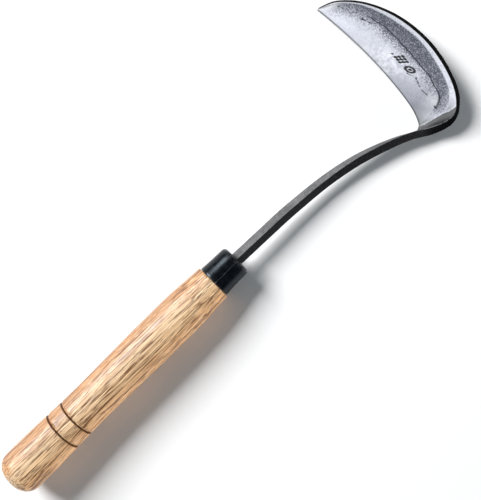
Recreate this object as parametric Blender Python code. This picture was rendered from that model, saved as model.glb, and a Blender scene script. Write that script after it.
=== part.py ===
"""A hand sickle: an oak handle, a black steel ferrule and a forged, twisted, dished crescent blade.

Everything is drawn in the tool's own frame, in millimetres. The handle's axis is the X axis, X is 0 at the
front of the ferrule and grows towards the blade, Y is to the left of the handle and Z is the side that the
ground face of the blade looks to. At the end the whole tool is laid down as it rests on a table, on the
belly of the handle, the point of the blade and the underside of the hook.
"""

import math

import bmesh
import bpy
from mathutils import Euler, Matrix, Vector

MM = 0.001
SMOOTH_ANGLE = 35  # edges sharper than this, in degrees, stay sharp
FIT_GAP = 0.3  # air between two pieces that touch on the real tool
CUT_PAST = 1.0  # how far a cutter runs past the face it opens

# Handle: a turned oak grip with two ring grooves near the butt and a spigot inside the ferrule.
SHOULDER = -20.6  # where the grip ends and the ferrule begins
BUTT_FLAT_RADIUS = 5.0
BUTT_ROUND = 9.4  # length of the rounded end
BUTT_STEPS = 9
GRIP_STEPS = 2  # rings drawn from each line of the table to the next
GRIP = [
    # distance from the front of the ferrule, radius
    (-186.0, 14.4),
    (-174.0, 14.3),
    (-160.0, 14.0),
    (-142.0, 13.5),
    (-127.0, 13.25),
    (-108.0, 13.5),
    (-78.0, 13.95),
    (-50.0, 13.9),
    (-39.0, 13.6),
    (-31.0, 13.0),
    (-24.0, 12.6),
]
GROOVES = (-151.9, -140.4)
GROOVE_HALF_WIDTH = 1.1
GROOVE_DEPTH = 0.9
SHOULDER_EDGE = 0.5
SPIGOT_FRONT = -2.2
SPIGOT_ROUNDING = 1.2
HANDLE_SIDES = 48

# Ferrule: a thin black cap pressed over the spigot, with a square hole for the neck.
FERRULE_BACK_RADIUS = 11.45
FERRULE_FRONT_RADIUS = 10.7
FERRULE_NOSE = 2.4  # radius of its rounded front edge
FERRULE_WALL = 1.2
FERRULE_LIP = 0.3  # rounding of its back rim
FERRULE_SIDES = 48
SPIGOT_GAP = 0.3

# Forging, first part: the square bar of the tang and neck, standing on its corner.
BAR = 6.1
TANG_BACK = -96.0
TANG_TIP = 3.0
NECK = [
    # x, y, width of its upper left face, width of its right face, roll in degrees
    (0.0, 0.0, BAR, BAR, 45.0),
    (20.0, -0.6, BAR, BAR, 45.0),
    (40.0, -1.2, BAR, BAR, 45.0),
    (56.0, -2.3, 6.0, 5.9, 46.5),
    (71.0, -3.7, 6.0, 5.6, 50.0),
    (86.0, -6.0, 6.1, 5.4, 56.0),
    (100.0, -9.1, 6.4, 5.2, 63.0),
    (114.0, -13.5, 6.8, 5.0, 70.0),
    (127.0, -18.5, 7.1, 4.8, 79.0),
    (134.5, -22.2, 7.4, 4.75, 85.0),
]

# Forging, second part: the blade, drawn in the plane of its rim. The first number runs from the heel to
# the point, the second outwards to the spine, and the third is the height over the plane.
HEEL = (142.0, -21.6, -0.2)
BLADE_YAW, BLADE_DROOP, BLADE_LEAN = -6.4, -8.6, -27.7
SPINE = [
    (-2.4, 0.5, 3.9),
    (-5.5, 6.6, 0.5),
    (-8.8, 16.5, 0.0),
    (-7.5, 24.1, 0.0),
    (2.75, 31.75, 0.0),
    (19.9, 36.7, 0.0),
    (40.7, 38.0, 0.0),
    (63.0, 34.1, 0.0),
    (82.8, 25.2, 0.0),
    (96.7, 13.4, 0.0),
    (102.9, 1.4, 0.0),
]
EDGE = [
    (-0.3, -2.3, -2.8),
    (2.3, 0.9, -3.5),
    (10.6, 3.9, -2.4),
    (20.0, 5.4, -1.0),
    (33.0, 6.2, 0.0),
    (47.0, 6.15, 0.0),
    (62.5, 5.4, 0.0),
    (78.0, 3.9, 0.0),
    (91.0, 2.2, 0.0),
    (99.7, 0.8, 0.0),
    (103.1, 0.2, 0.0),
]
SPINE_THICKNESS = [4.75, 4.7, 4.1, 3.1, 2.8, 2.8, 2.7, 2.4, 2.0, 1.5, 0.8]
WALL_SPLAY = 0.3  # how far the spine's wall leans out towards the back, per thickness
SPLAY_SHARE = 0.2  # the share of the width over which the back takes up that lean
EDGE_THICKNESS = 0.5
HEEL_STATION = 0.6  # where the thick bar has thinned to the cutting edge, in steps of the lists above
DRAW_LENGTH = 2.6  # steps over which the side towards the edge is drawn thin, up to the heel
NECK_END = -0.5  # the neck's last section on the same count of steps
HEEL_TURN = 1.5  # steps past the heel over which the section's two ends come to face their own ways
HOLLOW_SHARE = 0.38  # how far in from the spine the dish is deepest
HOLLOW_DEPTH = 0.165  # pull of the dish below the rim plane, per width of the blade
HOOK_END = 4.0  # the station where the blade has turned out of the neck's upright face
STEEL_LINE = [
    # station, share of the blade's width that is soft iron; the rest is the welded-on hard steel
    (0.6, 1.0),
    (1.5, 0.70),
    (2.7, 0.51),
    (3.5, 0.36),
    (4.2, 0.37),
    (5.0, 0.42),
    (6.0, 0.43),
    (7.0, 0.39),
    (8.5, 0.36),
    (10.0, 0.3),
]
STEEL_GAP = 0.4
STEEL_START = 0.8  # the station where the steel begins, just past the heel

# Spacing of the forging's sections, in steps of the lists above, and the points across its faces.
NECK_SPACING = 0.34
BLADE_SPACING = 0.25
TANGENT_STEP = 0.05
FORGING_STEPS = 8
STEEL_STEPS = 6

# How the tool lies on the table, on the handle's belly, the point of the blade and the underside of the hook.
REST_PITCH, REST_ROLL = 2.261, 7.123

# Colours
OAK = (0.62, 0.40, 0.20)
BLACK_ENAMEL = (0.012, 0.014, 0.018)
FORGE_BLACK = (0.045, 0.044, 0.045)
BRIGHT_STEEL = (0.56, 0.57, 0.62)


def clear_scene():
    for obj in list(bpy.data.objects):
        bpy.data.objects.remove(obj, do_unlink=True)


def material(name, colour, roughness, metallic):
    made = bpy.data.materials.new(name)
    made.use_nodes = True
    shader = made.node_tree.nodes["Principled BSDF"]
    shader.inputs["Base Color"].default_value = (*colour, 1.0)
    shader.inputs["Roughness"].default_value = roughness
    shader.inputs["Metallic"].default_value = metallic
    made.diffuse_color = (*colour, 1.0)
    return made


def smooth_step(share):
    share = min(max(share, 0.0), 1.0)
    return share * share * (3.0 - 2.0 * share)


def spline(points, station):
    """The Catmull-Rom curve through the points, at a station counted in points from the first."""
    last = len(points) - 1
    first = min(max(int(math.floor(station)), 0), last - 1)
    t = station - first
    before = points[max(first - 1, 0)]
    start = points[first]
    end = points[first + 1]
    after = points[min(first + 2, last)]
    return [
        0.5 * (2 * b + (c - a) * t + (2 * a - 5 * b + 4 * c - d) * t**2 + (3 * b - a - 3 * c + d) * t**3)
        for a, b, c, d in zip(before, start, end, after)
    ]


def between(table, at):
    """A value read from a table of (place, value) pairs, on the straight line from each pair to the next."""
    if at <= table[0][0]:
        return table[0][1]
    for (low, first), (high, second) in zip(table, table[1:]):
        if at <= high:
            return first + (second - first) * (at - low) / (high - low)
    return table[-1][1]


def new_object(name, bm, colour_material, smooth_angle):
    bmesh.ops.recalc_face_normals(bm, faces=bm.faces)
    mesh = bpy.data.meshes.new(name)
    bm.to_mesh(mesh)
    bm.free()
    mesh.materials.append(colour_material)
    mesh.shade_smooth()
    mesh.set_sharp_from_angle(angle=math.radians(smooth_angle))
    obj = bpy.data.objects.new(name, mesh)
    bpy.context.scene.collection.objects.link(obj)
    return obj


def loft(rows):
    """A closed body through rings of the same number of points, with a flat cap on each end ring."""
    bm = bmesh.new()
    rings = [[bm.verts.new(Vector(point) * MM) for point in row] for row in rows]
    for ring, following in zip(rings, rings[1:]):
        count = len(ring)
        for i in range(count):
            j = (i + 1) % count
            bm.faces.new((ring[i], ring[j], following[j], following[i]))
    bm.faces.new(rings[0])
    bm.faces.new(rings[-1])
    return bm


def turned_rows(profile, sides):
    """Rings of points about the X axis for a profile of (x, radius) pairs."""
    angles = [2 * math.pi * i / sides for i in range(sides)]
    return [[(x, r * math.cos(a), r * math.sin(a)) for a in angles] for x, r in profile]


def arc(centre_x, centre_r, radius, start, end, steps):
    """Profile points on an arc, with angles in degrees from +X towards a growing radius."""
    turns = [math.radians(start + (end - start) * i / steps) for i in range(steps + 1)]
    return [(centre_x + radius * math.cos(a), centre_r + radius * math.sin(a)) for a in turns]


def cut_away(obj, cutter):
    """Takes the cutter's volume out of the object and leaves the cutter out of the model."""
    cutter.hide_render = True
    cutter.display_type = "WIRE"
    difference = obj.modifiers.new("opening", "BOOLEAN")
    difference.operation = "DIFFERENCE"
    difference.object = cutter
    difference.solver = "EXACT"


def grip_profile():
    """The grip's outline from the butt to the shoulder, with the two V grooves cut in."""
    swell = GRIP[0][1] - BUTT_FLAT_RADIUS
    profile = []
    for step in range(BUTT_STEPS):
        turn = math.pi / 2 * step / BUTT_STEPS
        profile.append((GRIP[0][0] - BUTT_ROUND * math.cos(turn), BUTT_FLAT_RADIUS + swell * math.sin(turn)))
    for step in range((len(GRIP) - 1) * GRIP_STEPS + 1):
        profile.append(tuple(spline(GRIP, step / GRIP_STEPS)))
    for groove in GROOVES:
        index = max(i for i, (x, _) in enumerate(GRIP) if x <= groove)
        start, end = GRIP[index][0], GRIP[index + 1][0]
        radius = spline(GRIP, index + (groove - start) / (end - start))[1]
        for offset, depth in ((-GROOVE_HALF_WIDTH, 0.0), (0.0, GROOVE_DEPTH), (GROOVE_HALF_WIDTH, 0.0)):
            profile.append((groove + offset, radius - depth))
    clear = [
        (x, r)
        for x, r in profile
        if all(abs(x - groove) < 0.01 or abs(x - groove) > GROOVE_HALF_WIDTH - 0.01 for groove in GROOVES)
    ]
    clear.sort()
    front = GRIP[-1][1]
    clear += [(SHOULDER - SHOULDER_EDGE, front), (SHOULDER, front - SHOULDER_EDGE)]
    return clear


def make_handle(wood, bore):
    spigot_back = FERRULE_BACK_RADIUS - FERRULE_WALL - SPIGOT_GAP
    spigot_front = FERRULE_FRONT_RADIUS - FERRULE_WALL - SPIGOT_GAP
    profile = grip_profile()
    profile.append((SHOULDER, spigot_back))
    rounding = SPIGOT_ROUNDING
    profile += arc(SPIGOT_FRONT - rounding, spigot_front - rounding, rounding, 90, 0, 3)
    handle = new_object("handle", loft(turned_rows(profile, HANDLE_SIDES)), wood, SMOOTH_ANGLE)
    cut_away(handle, bore)
    return handle


def make_ferrule(enamel, neck_hole):
    nose = FERRULE_NOSE
    inner = FERRULE_WALL
    back = SHOULDER + FIT_GAP
    lip = FERRULE_LIP
    outside = [(back, FERRULE_BACK_RADIUS - lip), (back + lip, FERRULE_BACK_RADIUS)]
    outside += arc(-nose, FERRULE_FRONT_RADIUS - nose, nose, 90, 0, 5)
    bend = nose - inner
    inside = arc(-nose, FERRULE_FRONT_RADIUS - nose, bend, 0, 90, 3)
    body = new_object("ferrule", loft(turned_rows(outside, FERRULE_SIDES)), enamel, SMOOTH_ANGLE)
    inside.append((back - CUT_PAST, FERRULE_BACK_RADIUS - inner))
    cavity = new_object("ferrule_cavity", loft(turned_rows(inside, FERRULE_SIDES)), enamel, SMOOTH_ANGLE)
    cut_away(body, cavity)
    cut_away(body, neck_hole)
    return body


def bar_row(place, heading, upper, right, roll, grown=0.0):
    """The four corners of a bar's section: the upper corner, then round by its upper left face."""
    left = Vector((-math.sin(heading), math.cos(heading), 0.0))
    up = Vector((0.0, 0.0, 1.0))
    along_upper = math.cos(roll) * left - math.sin(roll) * up
    along_right = -math.sin(roll) * left - math.cos(roll) * up
    upper += 2 * grown
    right += 2 * grown
    corner = Vector(place) - (upper * along_upper + right * along_right) / 2
    far = corner + upper * along_upper
    return corner, far, far + right * along_right, corner + right * along_right


def drawn_thin(row, right, station):
    corner, far, far_rear, rear = row
    share = edge_side_thickness(right, station) / right
    return corner, far, far.lerp(far_rear, share), rear


def square_hole(name, start, end, colour_material):
    """A cutter for the hole that a straight square bar fits in, between two (x, width) pairs."""
    roll = math.radians(NECK[0][4])
    rows = [bar_row((x, 0.0, 0.0), 0.0, width, width, roll, FIT_GAP) for x, width in (start, end)]
    return new_object(name, loft(rows), colour_material, SMOOTH_ANGLE)


def neck_rows():
    """The bar's sections from the end of the tang to the start of the hook."""
    last = len(NECK) - 1
    rows = [bar_row((TANG_BACK, 0.0, 0.0), 0.0, TANG_TIP, TANG_TIP, math.radians(NECK[0][4]))]
    for station in stations(0.0, last, NECK_SPACING):
        x, y, upper, right, roll = spline(NECK, station)
        behind = spline(NECK, max(station - TANGENT_STEP, 0.0))
        ahead = spline(NECK, min(station + TANGENT_STEP, last))
        heading = math.atan2(ahead[1] - behind[1], ahead[0] - behind[0])
        row = bar_row((x, y, 0.0), heading, upper, right, math.radians(roll))
        rows.append(drawn_thin(row, right, NECK_END + station - last))
    return rows


def blade_frame():
    turn = Euler((math.radians(BLADE_DROOP), math.radians(BLADE_LEAN), math.radians(BLADE_YAW)), "YXZ")
    return Matrix.Translation(HEEL) @ turn.to_matrix().to_4x4()


def blade_point(frame, local):
    along, outward, height = local
    return frame @ Vector((outward, along, height))


def section_curve(frame, station):
    """The three points that the front face's section at a station is drawn from: spine, hollow and edge."""
    spine = blade_point(frame, spline(SPINE, station))
    edge = blade_point(frame, spline(EDGE, station))
    width = (edge - spine).length
    normal = frame.to_3x3() @ Vector((0.0, 0.0, 1.0))
    dished = spine.lerp(edge, HOLLOW_SHARE) - normal * HOLLOW_DEPTH * width
    upright = spine - Vector((0.0, 0.0, width / 2))
    return spine, upright.lerp(dished, smooth_step(station / HOOK_END)), edge


def front_point(frame, station, share):
    spine, hollow, edge = section_curve(frame, station)
    return spine * (1 - share) ** 2 + hollow * 2 * share * (1 - share) + edge * share**2


def front_normal(frame, station, share):
    """The front face's outward direction; by the neck the whole section takes the one at the spine."""
    share *= smooth_step((station - HEEL_STATION) / HEEL_TURN)
    step = TANGENT_STEP / 2
    ahead, behind = min(station + step, len(SPINE) - 1), max(station - step, 0.0)
    inner, outer = min(share + step, 1.0), max(share - step, 0.0)
    along = front_point(frame, ahead, share) - front_point(frame, behind, share)
    across = front_point(frame, station, inner) - front_point(frame, station, outer)
    return along.cross(across).normalized()


def edge_side_thickness(spine, station):
    """The bar's thickness on the side that turns into the cutting edge, drawn thin on its way to the heel."""
    drawn = smooth_step(1.0 - (HEEL_STATION - station) / DRAW_LENGTH)
    return spine + (EDGE_THICKNESS - spine) * drawn


def thickness(station, share):
    spine = spline([(t,) for t in SPINE_THICKNESS], station)[0]
    return spine + (edge_side_thickness(spine, station) - spine) * share


def splay(frame, station, share):
    """The lean of the spine's wall: its back edge stands out past the front one, but not at the hook or point."""
    spine, _, edge = section_curve(frame, station)
    full = smooth_step((station - 2.3) / 1.7) * smooth_step(len(SPINE) - 1 - station)
    lean = WALL_SPLAY * thickness(station, 0.0) * full * max(0.0, 1.0 - share / SPLAY_SHARE) ** 2
    return (spine - edge).normalized() * lean


def blade_row(frame, station, low, high, steps):
    """A section of the blade between two shares of its width: along the front, then back along the rear."""
    shares = [low + (high - low) * i / steps for i in range(steps + 1)]
    front = [front_point(frame, station, share) for share in shares]
    rear = [
        point - front_normal(frame, station, share) * thickness(station, share) + splay(frame, station, share)
        for point, share in zip(front, shares)
    ]
    return front + rear[::-1]


def stations(first, last, spacing):
    count = max(1, round((last - first) / spacing))
    return [first + (last - first) * i / count for i in range(count + 1)]


def gap_share(frame, station):
    """The gap before the steel as a share of the width, a little more because the joint line runs aslant."""
    spine, _, edge = section_curve(frame, station)
    return STEEL_GAP / (edge - spine).length


def make_forging(black, frame):
    """The tang, the neck and the soft iron of the blade, which are one piece of bar drawn out."""
    steps = FORGING_STEPS
    rows = []
    for corner, far, far_rear, rear in neck_rows():
        front = [corner.lerp(far, i / steps) for i in range(steps + 1)]
        back = [far_rear.lerp(rear, i / steps) for i in range(steps + 1)]
        rows.append(front + back)
    before_steel = stations(0.0, STEEL_START, BLADE_SPACING)[:-1]
    for station in before_steel + stations(STEEL_START, STEEL_LINE[-1][0], BLADE_SPACING):
        rows.append(blade_row(frame, station, 0.0, between(STEEL_LINE, station), steps))
    return new_object("blade_forging", loft(rows), black, SMOOTH_ANGLE)


def make_edge_steel(bright, frame):
    """The hard steel welded on along the cutting edge, from the heel to the point."""
    rows = []
    for station in stations(STEEL_START, STEEL_LINE[-1][0], BLADE_SPACING):
        low = between(STEEL_LINE, station) + gap_share(frame, station)
        rows.append(blade_row(frame, station, low, 1.0, STEEL_STEPS))
    return new_object("edge_steel", loft(rows), bright, SMOOTH_ANGLE)


def lay_on_table(pieces):
    """Parents every object to one empty that turns the tool to its resting pose and stands it on Z = 0."""
    tool = bpy.data.objects.new("sickle", None)
    bpy.context.scene.collection.objects.link(tool)
    for obj in bpy.data.objects:
        if obj is not tool:
            obj.parent = tool
    turn = Euler((math.radians(REST_ROLL), math.radians(REST_PITCH), 0.0)).to_matrix().to_4x4()
    corners = [turn @ vertex.co for piece in pieces for vertex in piece.data.vertices]
    low = [min(corner[axis] for corner in corners) for axis in range(3)]
    high = [max(corner[axis] for corner in corners) for axis in range(3)]
    shift = Vector((-(low[0] + high[0]) / 2, -(low[1] + high[1]) / 2, -low[2]))
    tool.matrix_world = Matrix.Translation(shift) @ turn


def build_sickle():
    clear_scene()
    oak = material("oak", OAK, 0.45, 0.0)
    enamel = material("black_enamel", BLACK_ENAMEL, 0.25, 0.0)
    black = material("forge_black", FORGE_BLACK, 0.55, 0.9)
    bright = material("bright_steel", BRIGHT_STEEL, 0.3, 1.0)
    frame = blade_frame()
    bore = square_hole("tang_bore", (TANG_BACK - CUT_PAST, TANG_TIP), (0.0, BAR), oak)
    neck_hole = square_hole("neck_hole", (SPIGOT_FRONT, BAR), (CUT_PAST, BAR), enamel)
    handle = make_handle(oak, bore)
    ferrule = make_ferrule(enamel, neck_hole)
    forging = make_forging(black, frame)
    edge_steel = make_edge_steel(bright, frame)
    lay_on_table([handle, ferrule, forging, edge_steel])


build_sickle()
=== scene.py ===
"""A hand sickle: turned oak grip, black ferrule, forged neck and a dished blade with a hard steel edge.

The pieces are drawn in the tool's own frame, in millimetres, as the CAD draws them: X runs along the handle's
axis from the front of the ferrule towards the blade, Y is to its left and Z is the side that the ground face
looks to. REST then lays the whole tool down in the CAD's place.
"""

import functools
import math

import bpy
from mathutils import Euler, Matrix, Vector, noise


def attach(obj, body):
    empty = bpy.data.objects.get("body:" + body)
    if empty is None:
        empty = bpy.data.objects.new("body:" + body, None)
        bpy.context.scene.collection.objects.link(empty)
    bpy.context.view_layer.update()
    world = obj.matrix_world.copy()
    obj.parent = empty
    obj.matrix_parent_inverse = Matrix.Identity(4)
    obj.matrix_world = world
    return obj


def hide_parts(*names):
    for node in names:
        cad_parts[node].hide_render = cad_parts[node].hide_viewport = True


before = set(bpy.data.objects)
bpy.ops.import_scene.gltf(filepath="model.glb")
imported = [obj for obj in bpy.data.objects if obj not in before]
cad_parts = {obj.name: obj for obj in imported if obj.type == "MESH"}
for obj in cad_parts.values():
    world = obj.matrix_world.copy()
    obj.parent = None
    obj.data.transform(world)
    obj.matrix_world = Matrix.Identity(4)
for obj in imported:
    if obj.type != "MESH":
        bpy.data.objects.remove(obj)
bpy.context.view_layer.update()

MM = 0.001
SMOOTH_ANGLE = 40  # edges sharper than this, in degrees, stay sharp

# How the tool lies, on the handle's belly, the point of the blade and the underside of the hook: turned in
# degrees and then moved in millimetres.
REST_PITCH, REST_ROLL = 2.261, 7.123
REST_PLACE = Vector((6.0164, -22.9927, 12.0675))

# Handle: a turned oak grip with two ring grooves near the butt and a spigot inside the ferrule.
SIDES = 144  # points round a ring of the handle or the ferrule
SHOULDER = -20.6  # where the grip ends and the ferrule begins
BUTT = -195.4
BUTT_FLAT_RADIUS = 5.0
BUTT_STEPS = 28  # rings round the butt's edge
GRIP_STEPS = 10  # rings drawn from each line of the table to the next
GRIP = [
    # distance from the front of the ferrule, radius
    (-186.0, 14.4),
    (-174.0, 14.3),
    (-160.0, 14.0),
    (-142.0, 13.5),
    (-127.0, 13.25),
    (-108.0, 13.5),
    (-78.0, 13.95),
    (-50.0, 13.9),
    (-39.0, 13.6),
    (-31.0, 13.0),
    (-24.0, 12.6),
]
GROOVES = (-151.9, -140.4)
GROOVE_DEPTH = 0.9
GROOVE_BACK, GROOVE_BOTTOM, GROOVE_FRONT = -0.75, -0.1, 1.7  # measured from a groove's place
GRIP_WOBBLE = 0.06  # how uneven the turned surface is
SPIGOT_FRONT = -2.2
SPIGOT_ROUNDING = 1.2
FIT_GAP = 0.3  # air between two pieces that touch on the real tool

# Ferrule: a thin black cap pressed over the spigot, with a seam and a square hole for the neck.
FERRULE_BACK_RADIUS, FERRULE_FRONT_RADIUS = 11.45, 10.7
FERRULE_NOSE = 2.4  # radius of its rounded front edge
FERRULE_WALL = 1.2
FERRULE_LIP = 0.35  # rounding of its back rim
FERRULE_HOLLOW = 0.12  # how far its side is drawn in between the two ends
FERRULE_STEPS = 15
NOSE_STEPS = 8
NECK_CLEARANCE = 0.14
SEAM_ANGLE = math.radians(-4.0)
SEAM_POINTS = (0.12, 0.24, 0.36, 0.5, 0.75, 1.0)  # extra points on each side of it, in millimetres
SEAM_RADIUS = 11.0  # radius at which those millimetres are measured

# Forging: the square bar of the tang and neck, standing on its corner.
BAR = 6.1
TANG_BACK = -96.0
TANG_TIP = 3.0
TANG = [(TANG_BACK, TANG_TIP), (-40.0, 4.9), (-2.0, 6.04)]  # distance, width
TANG_ROUNDING = 0.4
NECK = [
    # x, y, width of its upper left face, width of its right face, roll in degrees
    (0.0, 0.0, BAR, BAR, 45.0),
    (20.0, -0.6, BAR, BAR, 45.0),
    (40.0, -1.2, BAR, BAR, 45.0),
    (56.0, -2.3, 6.0, 5.9, 46.5),
    (71.0, -3.7, 6.0, 5.6, 50.0),
    (86.0, -6.0, 6.1, 5.4, 56.0),
    (100.0, -9.1, 6.4, 5.2, 63.0),
    (114.0, -13.5, 6.8, 5.0, 70.0),
    (127.0, -18.5, 7.1, 4.8, 79.0),
    (134.5, -22.2, 7.4, 4.75, 85.0),
]
NECK_ROUNDING = 0.28
NECK_TANGENT_STEP = 0.05
NECK_SPACING = 0.1  # from one section to the next, in lines of the table
ARC_MIDDLE = 0.586  # where a rounded corner's middle lies, from the sharp corner to the arc's chord
MOST_ROUNDING = 0.4  # of a side's length

# Blade: (from heel to point, outwards to the spine, height over the rim plane). A station counts steps of
# these lists from the heel, and a share is a part of the width, from the spine to the edge.
HEEL = (142.0, -21.6, -0.2)
BLADE_YAW, BLADE_DROOP, BLADE_LEAN = -6.4, -8.6, -27.7
SPINE = [
    (-2.4, 0.5, 3.9),
    (-5.5, 6.6, 0.5),
    (-8.8, 16.5, 0.0),
    (-7.5, 24.1, 0.0),
    (2.75, 31.75, 0.0),
    (19.9, 36.7, 0.0),
    (40.7, 38.0, 0.0),
    (63.0, 34.1, 0.0),
    (82.8, 25.2, 0.0),
    (96.7, 13.4, 0.0),
    (102.9, 1.4, 0.0),
]
EDGE = [
    (-0.3, -2.3, -2.8),
    (2.3, 0.9, -3.5),
    (10.6, 3.9, -2.4),
    (20.0, 5.4, -1.0),
    (33.0, 6.2, 0.0),
    (47.0, 6.15, 0.0),
    (62.5, 5.4, 0.0),
    (78.0, 3.9, 0.0),
    (91.0, 2.2, 0.0),
    (99.7, 0.8, 0.0),
    (103.1, 0.2, 0.0),
]
SPINE_THICKNESS = [4.75, 4.7, 4.1, 3.1, 2.8, 2.8, 2.7, 2.4, 2.0, 1.5, 0.8]
WALL_SPLAY = 0.3  # how far the spine's wall leans out towards the back, per thickness
SPLAY_SHARE = 0.2  # the share of the width over which the back takes up that lean
EDGE_THICKNESS = 0.5
LEAST_THICKNESS = 0.14
HEEL_STATION = 0.6  # where the thick bar has thinned to the cutting edge
LAND_FLATNESS = 0.6  # how much of the dish's hollow the flat land along the spine lacks
DRAW_LENGTH = 2.6  # steps over which the side towards the edge is drawn thin, up to the heel
NECK_END = -0.5  # the neck's last section on the same count of steps
HEEL_TURN = 1.5  # steps past the heel over which the section's two ends come to face their own ways
HOLLOW_SHARE = 0.38  # how far in from the spine the dish is deepest
HOLLOW_DEPTH = 0.165  # pull of the dish below the rim plane, per width of the blade
HOOK_END = 4.0  # the station where the blade has turned out of the neck's upright face
LAST = len(SPINE) - 1
STEPS = 36  # points across the front of a forging's section, less one
TANGENT_STEP = 0.025
BLADE_SPACING = [(2.0, 0.05), (4.45, 0.06), (5.75, 0.024), (LAST, 0.06)]  # up to a station, this far apart
STATION_LENGTH = 16.5  # millimetres from one station to the next along the blade
HEEL_STATION_LENGTH = 9.0  # the same near the heel
UNGROUND = -20.0  # a distance from the ground face's start for what is never ground
# Lines on the ground face, as (station, share).
WELD = [
    (0.6, 1.0),
    (1.5, 0.70),
    (2.7, 0.51),
    (3.5, 0.36),
    (4.2, 0.37),
    (5.0, 0.42),
    (6.0, 0.43),
    (7.0, 0.39),
    (8.5, 0.36),
    (10.0, 0.3),
]
WELD_GAP = 0.0012  # share of the width that each side leaves free of the weld line
RIM = [
    (2.5, 0.42),
    (2.9, 0.30),
    (3.3, 0.20),
    (3.9, 0.125),
    (6.1, 0.10),
    (6.7, 0.125),
    (7.4, 0.115),
    (8.1, 0.085),
    (8.9, 0.16),
    (10.0, 0.3),
]
# Where the ground face starts at the heel, as (share, station).
GRIND_START = [
    (0.0, 3.28),
    (0.147, 2.944),
    (0.27, 2.72),
    (0.38, 2.37),
    (0.565, 1.69),
    (0.72, 1.13),
    (1.0, 0.7),
]
STEEL_START = 0.8  # the station where the hard steel begins, just past the heel
SCRATCHES = [
    [(3.507, 0.58), (3.826, 0.64), (4.37, 0.62), (4.65, 0.69)],
    [(7.05, 0.50), (7.25, 0.52), (7.45, 0.55)],
    [(2.87, 0.47), (2.95, 0.50)],
]
# Small pits, as (station, share, radius in millimetres).
PITS = [(5.58, 0.687, 0.35), (8.70, 0.40, 0.35), (7.44, 0.525, 0.35), (2.87, 0.487, 0.80)]
# The smith's two punched marks, as (station, share): nine dots in a square, and a ring round a dot.
DOT_MARK, RING_MARK = (5.287, 0.6305), (4.786, 0.622)
MARK_REACH = 3.5  # how far from its middle a mark is drawn
DOT_PITCH, DOT_RADIUS = 2.1, 0.75
RING_RADIUS, RING_HALF_WIDTH = 2.4, 0.5
RING_CENTRE_RADIUS = 0.3
PUNCH_SLOPE = 0.35  # width of a punched mark's sloping wall
DENT_DEPTH = 0.16  # of the deepest mark, pit or scratch


def smooth_step(share):
    share = min(max(share, 0.0), 1.0)
    return share * share * (3.0 - 2.0 * share)


def spline(points, station):
    """The Catmull-Rom curve through the points, at a station counted in points from the first."""
    last = len(points) - 1
    first = min(max(int(math.floor(station)), 0), last - 1)
    t = station - first
    before = points[max(first - 1, 0)]
    start = points[first]
    end = points[first + 1]
    after = points[min(first + 2, last)]
    return [
        0.5 * (2 * b + (c - a) * t + (2 * a - 5 * b + 4 * c - d) * t**2 + (3 * b - a - 3 * c + d) * t**3)
        for a, b, c, d in zip(before, start, end, after)
    ]


def between(table, at):
    """The table's value at a place: straight between its lines and held outside them."""
    if at <= table[0][0]:
        return table[0][1]
    for (low, first), (high, second) in zip(table, table[1:]):
        if at <= high:
            return first + (second - first) * (at - low) / (high - low)
    return table[-1][1]


def spread(first, last, spacing):
    """Even places from the first to the last, about this far apart."""
    count = max(1, round((last - first) / spacing))
    return [first + (last - first) * i / count for i in range(count + 1)]


def lerp(a, b, share):
    return a + (b - a) * share


# ---------------------------------------------------------------- meshes

REST = (
    Matrix.Translation(REST_PLACE * MM)
    @ Euler((math.radians(REST_ROLL), math.radians(REST_PITCH), 0.0)).to_matrix().to_4x4()
    @ Matrix.Scale(MM, 4)
)


def build(name, rows, materials, attributes, closed=False, material_of=None):
    """A mesh through rings of points in the tool's frame. Attributes are {name: rows of numbers}."""
    count = len(rows[0])
    points = [REST @ Vector(p) for row in rows for p in row]
    faces = []
    slots = []
    total = len(rows)
    for r in range(total if closed else total - 1):
        here = r * count
        there = (r + 1) % total * count
        for i in range(count):
            j = (i + 1) % count
            faces.append((here + i, here + j, there + j, there + i))
            slots.append(material_of(r, i) if material_of else 0)
    if not closed:
        faces.append(tuple(range(count)))
        faces.append(tuple(range((total - 1) * count, total * count)))
        slots += [0, 0]
    mesh = bpy.data.meshes.new(name)
    mesh.from_pydata(points, [], faces)
    for material in materials:
        mesh.materials.append(material)
    mesh.polygons.foreach_set("material_index", slots)
    place = mesh.attributes.new("place", "FLOAT_VECTOR", "POINT")
    place.data.foreach_set("vector", [c for row in rows for p in row for c in p])
    for key, values in attributes.items():
        layer = mesh.attributes.new(key, "FLOAT", "POINT")
        layer.data.foreach_set("value", [v for row in values for v in row])
    obj = bpy.data.objects.new(name, mesh)
    bpy.context.scene.collection.objects.link(obj)
    bpy.context.view_layer.objects.active = obj
    obj.select_set(True)
    bpy.ops.object.mode_set(mode="EDIT")
    bpy.ops.mesh.select_all(action="SELECT")
    bpy.ops.mesh.normals_make_consistent(inside=False)
    bpy.ops.object.mode_set(mode="OBJECT")
    obj.select_set(False)
    mesh.shade_smooth()
    mesh.set_sharp_from_angle(angle=math.radians(SMOOTH_ANGLE))
    return obj


def square_radius(half, angle):
    """Distance to the outline of a square that stands on its corner."""
    return half / max(abs(math.cos(angle - math.pi / 4)), abs(math.sin(angle - math.pi / 4)))


def ring(x, radius_at, angles):
    """A ring of points round the X axis. Angles count from +Z towards +Y."""
    return [(x, radius_at(a) * math.sin(a), radius_at(a) * math.cos(a)) for a in angles]


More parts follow.
